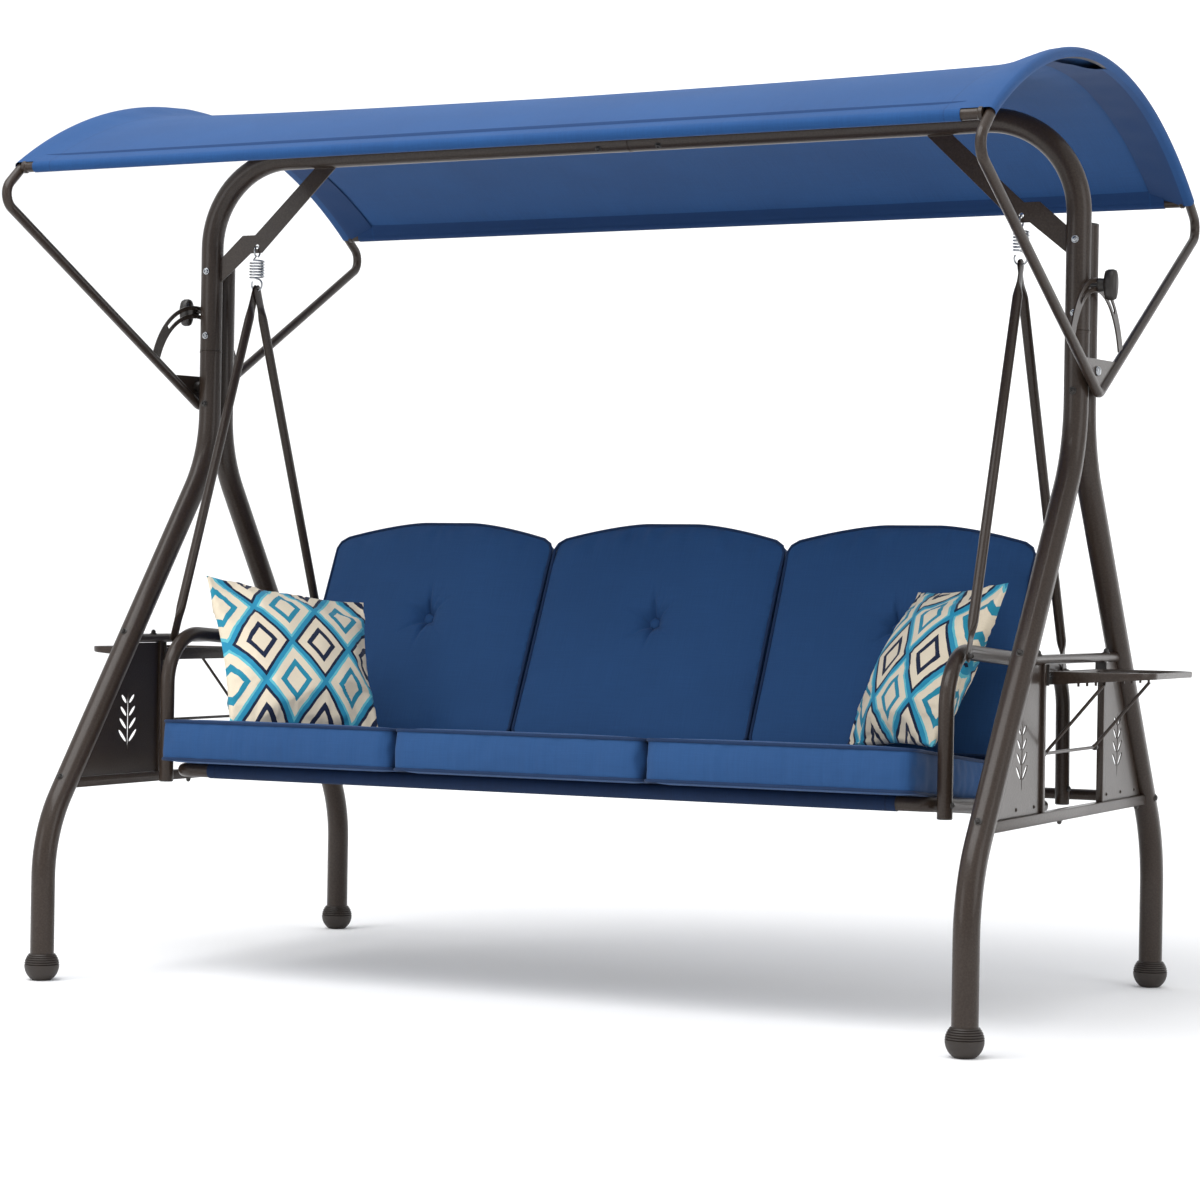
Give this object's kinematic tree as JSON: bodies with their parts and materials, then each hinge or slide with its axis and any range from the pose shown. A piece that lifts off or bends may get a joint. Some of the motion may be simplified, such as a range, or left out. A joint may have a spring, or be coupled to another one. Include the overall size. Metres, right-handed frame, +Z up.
{
  "type": "canopy glider swing",
  "caption": "Free-standing canopy swing: a cushioned bench hangs on springs from an arched tube stand, under a tilting sunshade, with folding side trays.",
  "frame": {"origin": "on the ground, midway between the outermost points on all four sides", "axes": "+X along the bench towards a sitter's left (a viewer's right from the front), -Y is the front, +Z up; the posts stand on Y = 0"},
  "size_m": [2.27, 1.3342, 1.766],
  "materials": {
    "frame_paint": "satin textured powder coat, dark bronze",
    "zinc": "bright zinc",
    "black_plastic": "moulded, satin",
    "foot_plastic": "moulded foot, satin",
    "textile": "woven cushion cover, foam filled",
    "sling": "coated woven mesh",
    "canopy": "coated polyester sheet",
    "pillow": "printed woven cover"
  },
  "bodies": {
    "stand": {"front_leg_left": "frame_paint", "rear_leg_left": "frame_paint", "front_foot_left": "foot_plastic", "rear_foot_left": "foot_plastic", "top_beam_left": "frame_paint", "corner_plate_left": "frame_paint", "upper_rail_left": "frame_paint", "lower_rail_left": "frame_paint", "front_bar_left": "frame_paint", "rear_bar_left": "frame_paint", "front_panel_left": "frame_paint", "rear_panel_left": "frame_paint", "pivot_bolt_left": "zinc", "front_leg_right": "frame_paint", "rear_leg_right": "frame_paint", "front_foot_right": "foot_plastic", "rear_foot_right": "foot_plastic", "top_beam_right": "frame_paint", "corner_plate_right": "frame_paint", "upper_rail_right": "frame_paint", "lower_rail_right": "frame_paint", "front_bar_right": "frame_paint", "rear_bar_right": "frame_paint", "front_panel_right": "frame_paint", "rear_panel_right": "frame_paint", "pivot_bolt_right": "zinc", "rear_cross_bar": "frame_paint"},
    "canopy": {"canopy_fan_left": "frame_paint", "canopy_bow_left": "frame_paint", "canopy_fan_right": "frame_paint", "canopy_bow_right": "frame_paint", "canopy_front_tube": "frame_paint", "canopy_rear_tube": "frame_paint", "canopy_fabric": "canopy"},
    "knob_left": {"tilt_knob_left": "black_plastic"},
    "knob_right": {"tilt_knob_right": "black_plastic"},
    "hanger": {"spring_left": "zinc", "spring_right": "zinc"},
    "bench": {"front_arm_left": "frame_paint", "rear_arm_left": "frame_paint", "armrest_left": "frame_paint", "front_arm_right": "frame_paint", "rear_arm_right": "frame_paint", "armrest_right": "frame_paint", "seat_frame": "frame_paint", "back_frame": "frame_paint", "seat_sling": "sling", "seat_cushion_left": "textile", "seat_cushion_middle": "textile", "seat_cushion_right": "textile", "back_cushion_left": "textile", "back_cushion_middle": "textile", "back_cushion_right": "textile", "throw_pillow_left": "pillow", "throw_pillow_right": "pillow"},
    "tray_left": {"tray_left": "frame_paint"},
    "tray_right": {"tray_right": "frame_paint"},
    "brace_left": {"tray_brace_left": "frame_paint"},
    "brace_right": {"tray_brace_right": "frame_paint"}
  },
  "joints": [
    {"name": "canopy_tilt", "type": "hinge", "parent": "stand", "child": "canopy", "pos_m": [0, 0, 1.1864], "axis": [1, 0, 0], "range_deg": [-38, 38]},
    {"name": "knob_left_turn", "type": "hinge", "parent": "stand", "child": "knob_left", "pos_m": [0, 0, 1.3434], "axis": [1, 0, 0], "continuous": true},
    {"name": "knob_right_turn", "type": "hinge", "parent": "stand", "child": "knob_right", "pos_m": [0, 0, 1.3434], "axis": [1, 0, 0], "continuous": true},
    {"name": "bench_swing", "type": "hinge", "parent": "stand", "child": "hanger", "pos_m": [0, 0, 1.4764], "axis": [1, 0, 0], "range_deg": [-14, 14]},
    {"name": "bench_bounce", "type": "slide", "parent": "hanger", "child": "bench", "axis": [0, 0, 1], "range_m": [-0.01, 0.002], "stiffness_N_per_m": 90000, "springref_m": 0.00191, "deforming": ["spring_left", "spring_right"]},
    {"name": "tray_left_fold", "type": "hinge", "parent": "stand", "child": "tray_left", "pos_m": [-0.951, 0, 0.633], "axis": [0, 1, 0], "range_deg": [-86, 0]},
    {"name": "brace_left_fold", "type": "hinge", "parent": "stand", "child": "brace_left", "pos_m": [-0.941, 0, 0.4925], "axis": [0, 1, 0], "range_deg": [-130, 0]},
    {"name": "tray_right_fold", "type": "hinge", "parent": "stand", "child": "tray_right", "pos_m": [0.951, 0, 0.633], "axis": [0, 1, 0], "range_deg": [0, 86]},
    {"name": "brace_right_fold", "type": "hinge", "parent": "stand", "child": "brace_right", "pos_m": [0.941, 0, 0.4925], "axis": [0, 1, 0], "range_deg": [0, 130]}
  ],
  "couplings": [
    {"joint": "brace_left_fold", "follows": "tray_left_fold", "ratio": 1.5},
    {"joint": "brace_right_fold", "follows": "tray_right_fold", "ratio": 1.5}
  ]
}
